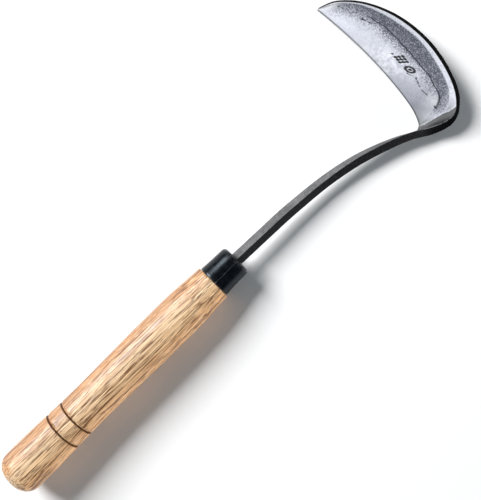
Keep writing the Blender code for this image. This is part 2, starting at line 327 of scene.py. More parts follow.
def groove_depth(x):
    """The turned grooves: a steep wall towards the butt and a long rounded one towards the ferrule."""
    depth = 0.0
    for groove in GROOVES:
        at = x - groove
        if GROOVE_BACK < at <= GROOVE_BOTTOM:
            here = smooth_step((at - GROOVE_BACK) / (GROOVE_BOTTOM - GROOVE_BACK))
            depth = max(depth, GROOVE_DEPTH * here)
        elif GROOVE_BOTTOM < at < GROOVE_FRONT:
            here = 1.0 - smooth_step((at - GROOVE_BOTTOM) / (GROOVE_FRONT - GROOVE_BOTTOM))
            depth = max(depth, GROOVE_DEPTH * here**0.8)
    return depth


def grip_places():
    """The places of the grip's rings, closer together across the grooves."""
    xs = [spline(GRIP, step / GRIP_STEPS)[0] for step in range((len(GRIP) - 1) * GRIP_STEPS + 1)]
    for groove in GROOVES:
        xs = [x for x in xs if not -1.3 < x - groove < 2.0]
        xs += spread(groove - 1.2, groove + 1.9, 0.12)
    return sorted(xs)


def handle_profile():
    """The turned outline from the middle of the butt to the spigot's front, as (distance, radius)."""
    profile = [(BUTT, 0.6), (BUTT, 2.6), (BUTT, 4.5)]
    back, back_radius = GRIP[0]
    for step in range(BUTT_STEPS):
        turn = math.pi / 2 * step / BUTT_STEPS
        x = back + (BUTT - back) * math.cos(turn)
        profile.append((x, BUTT_FLAT_RADIUS + (back_radius - BUTT_FLAT_RADIUS) * math.sin(turn)))
    starts = [x for x, _ in GRIP]
    for x in grip_places():
        index = min(max(i for i, start in enumerate(starts) if x >= start - 1e-6), len(GRIP) - 2)
        share = (x - starts[index]) / (starts[index + 1] - starts[index])
        profile.append((x, spline(GRIP, index + share)[1] - groove_depth(x)))
    front = GRIP[-1][1]
    profile += [(-22.2, front), (SHOULDER - 0.45, front - 0.03)]
    profile += [(SHOULDER - 0.15, front - 0.18), (SHOULDER, front - 0.5)]
    spigot_back = FERRULE_BACK_RADIUS - FERRULE_WALL - FIT_GAP
    spigot_front = FERRULE_FRONT_RADIUS - FERRULE_WALL - FIT_GAP
    profile += [(SHOULDER, spigot_back), (SPIGOT_FRONT - SPIGOT_ROUNDING, spigot_front)]
    return profile + [(SPIGOT_FRONT, spigot_front - SPIGOT_ROUNDING)]


def make_handle(wood):
    angles = [2 * math.pi * i / SIDES for i in range(SIDES)]
    rows = []
    burn_and_shade = []
    for x, radius in handle_profile():
        wobble = GRIP_WOBBLE if -190.0 < x < -24.0 else 0.0

        def uneven_radius(a):
            return radius + wobble * noise.noise((x * 0.05, 1.5 * math.cos(a), 1.5 * math.sin(a)))

        rows.append(ring(x, uneven_radius, angles))
        # Dark at each groove's bottom: partly a burn line and partly painted shade in the recess.
        near = min(abs(x - groove + 0.05) for groove in GROOVES)
        burn_and_shade.append([1.0 - smooth_step((near - 0.28) / 0.45)] * SIDES)
    slot = ((SPIGOT_FRONT, BAR / 2 + FIT_GAP), (-50.0, 2.6), (TANG_BACK - 1.0, TANG_TIP / 2 + FIT_GAP))
    for x, half in slot:
        rows.append(ring(x, lambda a: square_radius(half, a), angles))
        burn_and_shade.append([0.0] * SIDES)
    return build("oak_grip", rows, [wood], {"groove": burn_and_shade})


def turn_from(angle, other):
    """The turn from one angle to another, at most half a circle either way."""
    return (angle - other + math.pi) % (2 * math.pi) - math.pi


def ferrule_angles():
    """Even steps, with closer ones at the seam."""
    marks = [SEAM_ANGLE + side * mm / SEAM_RADIUS for mm in SEAM_POINTS for side in (-1, 1)] + [SEAM_ANGLE]
    even = [2 * math.pi * i / SIDES for i in range(SIDES)]
    clear = [a for a in even if min(abs(turn_from(a, mark)) for mark in marks) > 0.02]
    return sorted(clear + [mark % (2 * math.pi) for mark in marks])


def seam(angle, radius):
    """The rolled joint along the ferrule: a fine furrow between two faint ridges."""
    off = turn_from(angle, SEAM_ANGLE) * radius
    furrow = 0.32 * math.exp(-((off / 0.2) ** 2))
    ridges = 0.10 * math.exp(-(((abs(off) - 0.6) / 0.3) ** 2))
    return ridges - furrow


def ferrule_outside(back):
    """The outer profile from the back rim round the nose, as (distance, radius, edge grey), the grey being
    partly rubbed enamel and partly a painted highlight on the rounded edges.
    """
    radius = FERRULE_BACK_RADIUS
    side = back + FERRULE_LIP
    profile = [(back, radius - FERRULE_LIP, 1.0), (back + 0.1, radius - 0.1, 1.0), (side, radius, 0.6)]
    for step in range(1, FERRULE_STEPS):
        share = step / FERRULE_STEPS
        hollow = FERRULE_HOLLOW * math.sin(math.pi * min(1.0, share * 1.15))
        x = side + (-FERRULE_NOSE - side) * share
        profile.append((x, lerp(radius, FERRULE_FRONT_RADIUS, share) - hollow, 0.0))
    for step in range(NOSE_STEPS + 1):
        turn = math.pi / 2 * step / NOSE_STEPS
        x = -FERRULE_NOSE + FERRULE_NOSE * math.sin(turn)
        nose = FERRULE_FRONT_RADIUS - FERRULE_NOSE + FERRULE_NOSE * math.cos(turn)
        profile.append((x, nose, 0.5 + 0.5 * math.sin(2 * turn)))
    return profile


def make_ferrule(enamel):
    angles = ferrule_angles()
    back = SHOULDER + FIT_GAP
    rows = []
    rubbed_and_highlit = []
    for x, r, edge_rub_and_shine in ferrule_outside(back):
        # The seam fades out at the nose and at the back rim.
        fade = smooth_step((-0.6 - x) / 1.5) * smooth_step((x - back) / 0.8)
        rows.append(ring(x, lambda a: r + fade * seam(a, r), angles))
        rubbed_and_highlit.append([edge_rub_and_shine] * len(angles))
    # The flat front face, then the square hole in it.
    rows += [ring(0.0, lambda a: r, angles) for r in (6.6, 5.4)]
    hole = BAR / 2 + NECK_CLEARANCE
    rows += [ring(x, lambda a: square_radius(hole, a), angles) for x in (0.0, -FERRULE_WALL)]
    bend = FERRULE_NOSE - FERRULE_WALL
    centre = FERRULE_FRONT_RADIUS - FERRULE_NOSE
    inside = [(-FERRULE_WALL, centre)]
    for turn in (0.5, 1.1, math.pi / 2):
        inside.append((-FERRULE_NOSE + bend * math.cos(turn), centre + bend * math.sin(turn)))
    inside.append((back, FERRULE_BACK_RADIUS - FERRULE_WALL))
    rows += [ring(x, lambda a: r, angles) for x, r in inside]
    rubbed_and_highlit += [[0.0] * len(angles) for _ in rows[len(rubbed_and_highlit):]]
    return build("black_ferrule", rows, [enamel], {"rubbed_and_highlit": rubbed_and_highlit}, closed=True)


# ---------------------------------------------------------------- forging

def blade_frame():
    turn = Euler((math.radians(BLADE_DROOP), math.radians(BLADE_LEAN), math.radians(BLADE_YAW)), "YXZ")
    return Matrix.Translation(HEEL) @ turn.to_matrix().to_4x4()


FRAME = blade_frame()
PLANE_NORMAL = FRAME.to_3x3() @ Vector((0.0, 0.0, 1.0))


def blade_point(local):
    along, outward, height = local
    return FRAME @ Vector((outward, along, height))


@functools.lru_cache(maxsize=None)
def section_curve(station):
    """The dish's section: its point on the spine, its control point, its point on the edge and its width."""
    spine = blade_point(spline(SPINE, station))
    edge = blade_point(spline(EDGE, station))
    width = (edge - spine).length
    dished = spine.lerp(edge, HOLLOW_SHARE) - PLANE_NORMAL * HOLLOW_DEPTH * width
    upright = spine - Vector((0.0, 0.0, width / 2))
    return spine, upright.lerp(dished, smooth_step(station / HOOK_END)), edge, width


def land(station, share):
    """How much of the dish's hollow is left at a share: all of it, but for the land along the spine."""
    rim = between(RIM, station)
    ground = smooth_step((station - 2.6) / 1.2) * LAND_FLATNESS
    return 1.0 - ground * (1.0 - smooth_step((share - rim * 0.75) / 0.085))


def dished_point(station, share):
    spine, hollow, edge, _ = section_curve(station)
    return spine * (1 - share) ** 2 + hollow * 2 * share * (1 - share) + edge * share**2


def front_point(station, share):
    spine, _, edge, _ = section_curve(station)
    curved = dished_point(station, share)
    chord = spine.lerp(edge, 2 * share * (1 - share) * HOLLOW_SHARE + share**2)
    return chord.lerp(curved, land(station, share))


def front_normal(station, share):
    """The dish's outward direction; by the neck the whole section takes the one at the spine."""
    share *= smooth_step((station - HEEL_STATION) / HEEL_TURN)
    ahead, behind = min(station + TANGENT_STEP, LAST), max(station - TANGENT_STEP, 0.0)
    inner, outer = min(share + TANGENT_STEP, 1.0), max(share - TANGENT_STEP, 0.0)
    along = dished_point(ahead, share) - dished_point(behind, share)
    across = dished_point(station, inner) - dished_point(station, outer)
    return along.cross(across).normalized()


def edge_side_thickness(spine, station):
    drawn = smooth_step(1.0 - (HEEL_STATION - station) / DRAW_LENGTH)
    return spine + (EDGE_THICKNESS - spine) * drawn


def thickness(station, share):
    spine = spline([(t,) for t in SPINE_THICKNESS], station)[0]
    return spine + (edge_side_thickness(spine, station) - spine) * share


def splay(station, share):
    """The lean of the spine's wall, whose back edge stands out past the front one between hook and point."""
    spine, _, edge, _ = section_curve(station)
    full = smooth_step((station - 2.3) / 1.7) * smooth_step(LAST - station)
    lean = WALL_SPLAY * thickness(station, 0.0) * full * max(0.0, 1.0 - share / SPLAY_SHARE) ** 2
    return (spine - edge).normalized() * lean


def weld_share(station):
    """The weld line, with the small waves of a hand-forged joint."""
    wave = 0.026 * noise.noise((station * 2.3, 0.0, 7.1)) + 0.013 * noise.noise((station * 7.0, 3.0, 0.0))
    return between(WELD, station) + wave * smooth_step((station - 1.5) / 1.5)


def bar_corners(x, y, heading, upper, right, roll):
    """The bar's corners: the top one, then round by the left. A roll of 45 degrees stands it on an edge."""
    left = Vector((-math.sin(heading), math.cos(heading), 0.0))
    up = Vector((0.0, 0.0, 1.0))
    along_upper = math.cos(roll) * left - math.sin(roll) * up
    along_right = -math.sin(roll) * left - math.cos(roll) * up
    corner = Vector((x, y, 0.0)) - (upper * along_upper + right * along_right) / 2
    far = corner + upper * along_upper
    return corner, far, far + right * along_right, corner + right * along_right


def rounded_section(front, rear, near_round, far_round):
    """A ring round a section, front side out and rear side back, with its four corners rounded."""

    def towards(corner, other, radius):
        side = other - corner
        return corner + side.normalized() * min(radius, side.length * MOST_ROUNDING)

    def cut(corner, along, across, radius):
        a = towards(corner, along, radius)
        b = towards(corner, across, radius)
        return a, corner.lerp((a + b) / 2, ARC_MIDDLE), b

    first, near_mid, near_wall = cut(front[0], front[1], rear[0], near_round)
    last, far_mid, far_wall = cut(front[-1], front[-2], rear[-1], far_round)
    rear_last, rear_far_mid, rear_far_wall = cut(rear[-1], rear[-2], front[-1], far_round)
    rear_first, rear_near_mid, rear_near_wall = cut(rear[0], rear[1], front[0], near_round)
    points = [first, *front[1:-1], last, far_mid, far_wall, rear_far_wall, rear_far_mid, rear_last]
    points += [*rear[-2:0:-1], rear_first, rear_near_mid, rear_near_wall]
    return points + [rear_near_wall.lerp(near_wall, 0.5), near_wall, near_mid]


def uneven(point, size, amount):
    return amount * noise.noise(Vector(point) / size)


def ground_values(station, share):
    """What the ground face's look needs at a point: distances in millimetres from its lines."""
    width = section_curve(station)[3]
    weld = (share - weld_share(station)) * width
    rim = (between(RIM, station) - share) * width
    heel = (station - between(GRIND_START, share)) * HEEL_STATION_LENGTH
    edge = (1.0 - share) * width
    return {"weld": weld, "rim": rim, "heel": heel, "edge": edge, "station": station}


def polyline_distance(line, station, share, width):
    """How far, in millimetres, a point of the ground face is from a line drawn on it."""
    best = math.inf
    here = Vector((station * STATION_LENGTH, share * width))
    for (s0, u0), (s1, u1) in zip(line, line[1:]):
        a = Vector((s0 * STATION_LENGTH, u0 * width))
        b = Vector((s1 * STATION_LENGTH, u1 * width))
        t = min(max((here - a).dot(b - a) / (b - a).length_squared, 0.0), 1.0)
        best = min(best, (here - a.lerp(b, t)).length)
    return best


def dot_mark(along, across):
    """Nine dots in a square."""
    near = [at - DOT_PITCH * max(-1, min(1, round(at / DOT_PITCH))) for at in (along, across)]
    return 1.0 - smooth_step((math.hypot(*near) - DOT_RADIUS) / PUNCH_SLOPE)


def ring_mark(along, across):
    """A ring with a dot in its middle."""
    radius = math.hypot(along, across)
    reach = min(abs(radius - RING_RADIUS), max(radius - RING_CENTRE_RADIUS, 0.0))
    return 1.0 - smooth_step((reach - RING_HALF_WIDTH) / PUNCH_SLOPE)


def scratch(line, station, share, width):
    """A wavering scratch, broken here and there."""
    wavering = share + 0.03 * noise.noise((station * 6.0, 1.0, 5.0))
    away = polyline_distance(line, station, wavering, width)
    broken = smooth_step(0.6 + 1.6 * noise.noise((station * 14.0, share * 30.0, 2.0)))
    return 0.9 * broken * (1.0 - smooth_step((away - 0.12) / 0.42))


def dents(station, share):
    """Depth of the punched marks, pits and scratches at a point, from 0 to 1."""
    width = section_curve(station)[3]
    depth = 0.0
    for (s, u), mark in ((DOT_MARK, dot_mark), (RING_MARK, ring_mark)):
        along = (station - s) * STATION_LENGTH
        across = (share - u) * width
        if max(abs(along), abs(across)) <= MARK_REACH:
            depth = max(depth, mark(along, across))
    for s, u, radius in PITS:
        away = math.hypot((station - s) * STATION_LENGTH, (share - u) * width)
        depth = max(depth, 1.0 - smooth_step((away - radius) / 0.5))
    for line in SCRATCHES:
        if abs(station - line[0][0]) < 1.6:
            depth = max(depth, scratch(line, station, share, width))
    return depth


# The numbers that each point of the forging carries for its looks.
KEYS = ("weld", "rim", "heel", "edge", "station", "dent", "corner", "wall")


def blade_section(station, low, high, near_round, far_round):
    """One ring of a blade piece, between two shares, and its attribute values."""
    shares = [low + (high - low) * i / STEPS for i in range(STEPS + 1)]
    front = []
    rear = []
    values = {key: [] for key in KEYS}
    for share in shares:
        point = front_point(station, share)
        normal = front_normal(station, share)
        dent = dents(station, share) if station > 2.5 else 0.0
        soft = smooth_step(station / 1.5)
        front.append(point - normal * (DENT_DEPTH * dent + soft * uneven(point, 9.0, 0.05)))
        deep = thickness(station, share) * (1.0 + soft * uneven(point, 6.0, 0.10))
        deep += soft * uneven(point, 2.5, 0.05) * (1 - share)
        rear.append(point - normal * max(deep, LEAST_THICKNESS) + splay(station, share))
        found = ground_values(station, share)
        found.update(dent=dent, corner=0.0, wall=0.0)
        for key in KEYS:
            values[key].append(found[key])
    row = rounded_section(front, rear, near_round, far_round)
    whole = {}
    for key in KEYS:
        v = values[key]
        back = [0.0 if key in ("corner", "dent") else x for x in v[::-1]]
        near, far = (0.0, 0.0) if key == "dent" else (v[0], v[-1])
        whole[key] = [*v, *[far] * 4, *back, *[near] * 5]
    if low == 0.0:
        mark_wall(whole)
    return row, whole


def mark_wall(values):
    """The side wall along the spine, or the neck's lower side, and the corner where it meets the front."""
    # The wall's mark carries painted shade and the corner's a painted highlight in the forge scale's look.
    values["wall"][-6:] = [0.0, 0.5, 1.0, 1.0, 1.0, 0.5]
    values["corner"][-2:] = [0.5, 1.0]
    values["corner"][0] = 0.8


def neck_section(station):
    last = len(NECK) - 1
    x, y, upper, right, roll = spline(NECK, station)
    behind = spline(NECK, max(station - NECK_TANGENT_STEP, 0.0))
    ahead = spline(NECK, min(station + NECK_TANGENT_STEP, last))
    heading = math.atan2(ahead[1] - behind[1], ahead[0] - behind[0])
    corner, far, far_rear, rear = bar_corners(x, y, heading, upper, right, math.radians(roll))
    place = NECK_END + station - last
    far_rear = far.lerp(far_rear, edge_side_thickness(right, place) / right)
    return straight_section(corner, far, far_rear, rear, NECK_ROUNDING)


def straight_section(corner, far, far_rear, rear, radius):
    """One ring of the bar and its attribute values."""
    front = [corner.lerp(far, i / STEPS) for i in range(STEPS + 1)]
    back = [rear.lerp(far_rear, i / STEPS) for i in range(STEPS + 1)]
    out = (front[0] - back[0]).normalized()
    front = [p + out * uneven(p, 7.0, 0.07) for p in front]
    back = [p + out * uneven(p, 7.0, 0.07) for p in back]
    row = rounded_section(front, back, radius, radius)
    values = {key: [0.0] * len(row) for key in KEYS}
    mark_wall(values)
    values["heel"] = [UNGROUND] * len(row)
    return row, values


def stack(sections):
    rows = [row for row, _ in sections]
    values = {key: [value[key] for _, value in sections] for key in KEYS}
    return rows, values


def blade_stations(first):
    """Close together at the hook and where the marks are."""
    found = [first]
    for last, spacing in BLADE_SPACING:
        found += spread(found[-1], last, spacing)[1:]
    return found


def make_forging(scale, ground):
    sections = []
    for x, width in TANG:
        corners = bar_corners(x, 0.0, 0.0, width, width, math.radians(45.0))
        sections.append(straight_section(*corners, TANG_ROUNDING))
    sections += [neck_section(station) for station in spread(0.0, len(NECK) - 1, NECK_SPACING)]
    first_ground = len(sections)
    for station in blade_stations(0.0):
        share = weld_share(station) - WELD_GAP if station > STEEL_START else 1.0
        far_round = 0.02 + 0.4 * (1.0 - smooth_step(station / HEEL_STATION))
        near_round = 0.32 - 0.14 * smooth_step((station - 2.5) / 1.5)
        sections.append(blade_section(station, 0.0, share, near_round, far_round))
    rows, values = stack(sections)
    return build("forged_blade", rows, [scale, ground], values,
                 material_of=lambda r, i: 1 if r >= first_ground and i < STEPS else 0)


def make_edge_steel(ground, scale):
    sections = []
    for station in blade_stations(STEEL_START):
        sections.append(blade_section(station, weld_share(station) + WELD_GAP, 1.0, 0.02, 0.05))
    rows, values = stack(sections)
    return build("hard_edge_steel", rows, [scale, ground], values,
                 material_of=lambda r, i: 1 if i < STEPS + 3 else 0)


# ---------------------------------------------------------------- materials

class Look:
    """A material's nodes. Each call adds one node, or a short run of them, and gives the output."""

    def __init__(self, name, **values):
        self.material = bpy.data.materials.new(name)
        self.material.use_nodes = True
        self.nodes = self.material.node_tree.nodes
        self.links = self.material.node_tree.links
        for key, value in values.items():
            self.socket(key).default_value = value

    def socket(self, key):
        """The shader's input with this name, written as base_color for Base Color."""
        name = key.replace("_", " ").title().replace("Ior", "IOR")
        return self.nodes["Principled BSDF"].inputs[name]

    def add(self, kind, inputs, output=0, **settings):
        node = self.nodes.new(kind)
        for key, value in settings.items():
            setattr(node, key, value)
        for key, value in inputs.items():
            if isinstance(value, bpy.types.NodeSocket):
                self.links.new(value, node.inputs[key])
            else:
                node.inputs[key].default_value = value
        return node.outputs[output]

    def value(self, name):
        """A number that the mesh carries at each point."""
        return self.add("ShaderNodeAttribute", {}, "Fac", attribute_name=name)

    def vector(self, operation, a, b):
        return self.add("ShaderNodeVectorMath", {0: a, 1: b}, operation=operation)

    def place(self, stretch=(1.0, 1.0, 1.0), shift=None):
        """The point in the tool's own frame, in millimetres, moved and then stretched."""
        vector = self.add("ShaderNodeAttribute", {}, "Vector", attribute_name="place")
        if shift is not None:
            vector = self.vector("ADD", vector, shift)
        return self.vector("MULTIPLY", vector, stretch)

    def axis(self, vector, index):
        return self.add("ShaderNodeSeparateXYZ", {0: vector}, index)

    def noise(self, vector, scale=1.0, detail=2.0, roughness=0.5, output=0):
        inputs = {"Vector": vector, "Scale": scale, "Detail": detail, "Roughness": roughness}
        return self.add("ShaderNodeTexNoise", inputs, output)

    def math(self, operation, a, b=0.0, clamp=False):
        return self.add("ShaderNodeMath", {0: a, 1: b}, operation=operation, use_clamp=clamp)

    def plus(self, a, b):
        return self.math("ADD", a, b)

    def times(self, first, *others):
        for other in others:
            first = self.math("MULTIPLY", first, other)
        return first

    def larger(self, first, *others):
        for other in others:
            first = self.math("MAXIMUM", first, other)
        return first

    def centred(self, value):
        """A value around a half, moved to be around nought."""
        return self.math("SUBTRACT", value, 0.5)

    def span(self, value, low, high, to_low=0.0, to_high=1.0):
        """The value's place between two limits, smoothly blended and held outside them."""
        return self.add("ShaderNodeMapRange", {0: value, 1: low, 2: high, 3: to_low, 4: to_high},
                        interpolation_type="SMOOTHSTEP")

    def mix(self, share, a, b):
        def colour(value):
            return (*value, 1.0) if isinstance(value, tuple) else value

        return self.add("ShaderNodeMix", {0: share, 6: colour(a), 7: colour(b)}, 2, data_type="RGBA")

    def blend(self, share, a, b):
        return self.add("ShaderNodeMix", {0: share, 2: a, 3: b}, 0, data_type="FLOAT")

    def bump(self, height, distance, strength):
        return self.add("ShaderNodeBump", {"Height": height, "Distance": distance, "Strength": strength})

    def finish(self, **sockets):
        for key, value in sockets.items():
            self.links.new(value, self.socket(key))
        return self.material


class Oak(Look):
    """Oak, cut so that the years' rings lie round a pith outside the handle."""

    def __init__(self):
        super().__init__("oak", metallic=0.0, coat_roughness=0.30)
        drift = self.noise(self.place((0.018, 0.05, 0.05)), detail=3.0, output=1)
        drift = self.vector("SUBTRACT", drift, (0.5, 0.5, 0.5))
        drift = self.vector("MULTIPLY", drift, (0.0, 1.6, 1.6))
        self.bent = self.vector("ADD", self.place(), drift)
        self.hair = self.streaks(2.2, 0.020, 41.0)
        self.early = self.early_wood()

    def early_wood(self):
        """The porous part of each year's ring."""
        flat = self.vector("MULTIPLY", self.bent, (0.0, 1.0, 1.0))
        from_pith = self.vector("ADD", flat, (0.0, -21.0, 34.0))
        reach = self.add("ShaderNodeVectorMath", {0: from_pith}, 1, operation="LENGTH")
        year = self.math("FRACT", self.times(reach, 0.8))
        return self.times(self.span(year, 0.0, 0.15), self.span(year, 0.35, 0.65, 1.0, 0.0))

    def streaks(self, scale, stretch, shift=0.0):
        """Noise drawn out along the grain."""
        vector = self.vector("MULTIPLY", self.bent, (stretch, 1.0, 1.0))
        vector = self.vector("ADD", vector, (shift, shift, 0.0))
        return self.noise(vector, scale=scale, detail=1.0)

    def pores(self):
        """Short dark pores, most of them in the early wood."""
        open_pores = self.span(self.streaks(1.5, 0.085), 0.575, 0.62)
        crowd = self.plus(self.times(self.early, 0.6), 0.4)
        upper = self.span(self.axis(self.place(), 1), -9.0, 6.0, 1.0, 0.45)
        return self.times(open_pores, crowd, upper)

    def lines(self):
        """Long dark lines of the grain, fading in and out."""
        dash = self.span(self.streaks(0.52, 0.034, 17.0), 0.62, 0.64)
        line = self.span(self.streaks(0.90, 0.022, 63.0), 0.61, 0.635, 0.0, 0.95)
        vein = self.math("ABSOLUTE", self.centred(self.streaks(0.62, 0.030, 17.0)))
        vein = self.span(vein, 0.015, 0.065, 0.8, 0.0)
        fade = self.noise(self.place((0.09, 0.5, 0.5), (3.0, 8.0, 1.0)))
        return self.times(self.larger(dash, line, vein), self.span(fade, 0.36, 0.56, 0.40, 1.0))

    def tones_with_painted_light(self):
        """The broad colours over a random broad tone, with painted light and shade: orange at the right and
        pale along the middle as painted light, and deeper brown towards the left, where the key light falls,
        as painted shade.
        """
        across = self.axis(self.bent, 1)
        broad = self.noise(self.place((0.012, 0.09, 0.09), (40.0, 3.0, 9.0)))
        colour = self.mix(self.span(broad, 0.3, 0.7), (0.74, 0.405, 0.185), (0.86, 0.51, 0.255))
        # Painted light: paler colours along the middle and orange at the right.
        light = self.mix(self.span(across, -9.0, -4.0), (0.97, 0.54, 0.25), (1.0, 0.68, 0.385))
        light = self.mix(self.span(across, -3.5, 1.0), light, (1.0, 0.765, 0.495))
        colour = self.mix(self.span(across, 0.5, 6.5, 0.95, 0.15), colour, light)
        # Painted shade: deeper brown towards the left.
        colour = self.mix(self.span(across, 3.5, 10.5, 0.0, 0.62), colour, (0.48, 0.225, 0.088))
        return self.mix(self.span(across, 9.5, 14.0, 0.0, 0.6), colour, (0.30, 0.13, 0.048))

    def made(self):
        pores = self.pores()
        lines = self.lines()
        rays = self.noise(self.place((0.16, 1.9, 1.9), (7.0, 1.0, 2.0)), detail=1.0)
        groove = self.value("groove")
        colour = self.mix(self.times(self.early, 0.20), self.tones_with_painted_light(), (0.38, 0.19, 0.08))
        colour = self.mix(self.span(self.hair, 0.42, 0.58, 0.0, 0.45), colour, (0.46, 0.215, 0.088))
        colour = self.mix(self.times(self.span(rays, 0.54, 0.64), 0.45), colour, (0.90, 0.66, 0.43))
        colour = self.mix(self.times(lines, 0.88), colour, (0.14, 0.048, 0.013))
        colour = self.mix(self.times(pores, 0.9), colour, (0.10, 0.038, 0.013))
        # The grooves' bottoms: a burn line and painted shade.
        colour = self.mix(self.times(groove, 0.95), colour, (0.055, 0.018, 0.005))
        depth = self.plus(self.times(pores, -1.0), self.times(lines, -0.5))
        return self.finish(
            base_color=colour,
            roughness=self.plus(self.span(self.hair, 0.3, 0.7, 0.36, 0.48), self.times(pores, 0.2)),
            normal=self.bump(depth, 0.00014, 0.8),
            coat_weight=self.blend(groove, 0.12, 0.0),
            specular_ior_level=self.blend(groove, 0.5, 0.1),
        )


def enamel_look():
    """Glossy black enamel, dusty here and there, and grey on its back rim and nose: partly rubbed enamel and
    partly a painted highlight on these rounded edges.
    """
    look = Look("black_enamel", metallic=0.0, specular_ior_level=0.24, specular_tint=(0.72, 0.87, 1.0, 1.0))
    cloud = look.noise(look.place(), scale=0.35, detail=4.0)
    specks = look.span(look.noise(look.place(), scale=3.2), 0.66, 0.74)
    rubbed = look.span(look.noise(look.place((0.25, 1.6, 1.6)), scale=1.1, detail=3.0), 0.60, 0.78)
    patchy = look.span(look.noise(look.place(), scale=0.9, detail=3.0), 0.40, 0.62)
    rubbed_and_highlit = look.times(look.value("rubbed_and_highlit"), patchy)
    colour = look.mix(look.span(cloud, 0.35, 0.7), (0.0015, 0.0018, 0.0026), (0.004, 0.0048, 0.0065))
    colour = look.mix(look.times(specks, 0.30), colour, (0.06, 0.07, 0.08))
    # Grey on the back rim and the nose: partly rubbed enamel and partly a painted highlight.
    colour = look.mix(look.times(rubbed_and_highlit, 0.35), colour, (0.12, 0.12, 0.125))
    rough = look.plus(look.span(cloud, 0.3, 0.7, 0.20, 0.27), look.times(rubbed, 0.10))
    height = look.noise(look.place(), scale=0.55)
    return look.finish(base_color=colour, roughness=rough, normal=look.bump(height, 0.00008, 0.3))


def scale_parts(look):
    """Forge scale, for the faces that were never ground: its colour, with painted shade on the side wall and
    a painted highlight on the hook's front corner, its roughness and height.
    """
    station = look.value("station")
    cloud = look.noise(look.place(), scale=0.16, detail=4.0, roughness=0.6)
    flake = look.noise(look.place(), scale=0.9, detail=4.0, roughness=0.65)
    grain = look.noise(look.place(), scale=2.2)
    colour = look.mix(look.span(cloud, 0.35, 0.68), (0.105, 0.105, 0.109), (0.160, 0.159, 0.162))
    colour = look.mix(look.span(flake, 0.52, 0.66, 0.0, 0.55), colour, (0.26, 0.258, 0.258))
    colour = look.mix(look.span(flake, 0.34, 0.46, 0.5, 0.0), colour, (0.060, 0.060, 0.062))
    # Darker towards the blade on the neck, and from near black to grey across the hook.
    along = look.axis(look.place(), 0)
    darker_towards_blade = look.times(look.span(along, 84.0, 126.0, 0.0, 0.5), look.span(station, 0.1, 0.9, 1.0, 0.0))
    colour = look.mix(darker_towards_blade, colour, (0.035, 0.035, 0.037))
    near_grind = look.span(look.value("heel"), -11.0, -1.5)
    hook = look.mix(near_grind, (0.004, 0.004, 0.0045), (0.10, 0.101, 0.104))
    colour = look.mix(look.span(station, 0.2, 1.6, 0.0, 0.85), colour, hook)
    # Blackest on the side wall, partly black scale and partly painted shade on the face turned from the
    # light, with a lighter front corner that is partly rubbed scale and partly a painted highlight.
    black = look.mix(look.span(flake, 0.5, 0.68), (0.013, 0.013, 0.014), (0.034, 0.033, 0.033))
    black = look.mix(look.span(station, 0.1, 1.2), black, (0.0022, 0.0022, 0.0024))
    colour = look.mix(look.value("wall"), colour, black)
    # Partly rubbed scale and partly a painted highlight along the hook's front corner.
    rubbed_and_highlit = look.times(look.span(look.value("corner"), 0.4, 1.0), look.span(flake, 0.36, 0.58))
    rub_and_shine_reach = look.times(look.span(station, 0.05, 0.5, 0.12, 0.75), look.span(station, 2.4, 3.0, 1.0, 0.3))
    colour = look.mix(look.times(rubbed_and_highlit, rub_and_shine_reach), colour, (0.34, 0.34, 0.36))
    rough = look.span(flake, 0.3, 0.7, 0.46, 0.62)
    height = look.plus(look.times(flake, 0.7), look.times(grain, 0.3))
    return colour, rough, height


def scale_look():
    look = Look("forge_scale", metallic=0.0, specular_ior_level=0.08)
    colour, rough, height = scale_parts(look)
    return look.finish(base_color=colour, roughness=rough, normal=look.bump(height, 0.00022, 0.6))


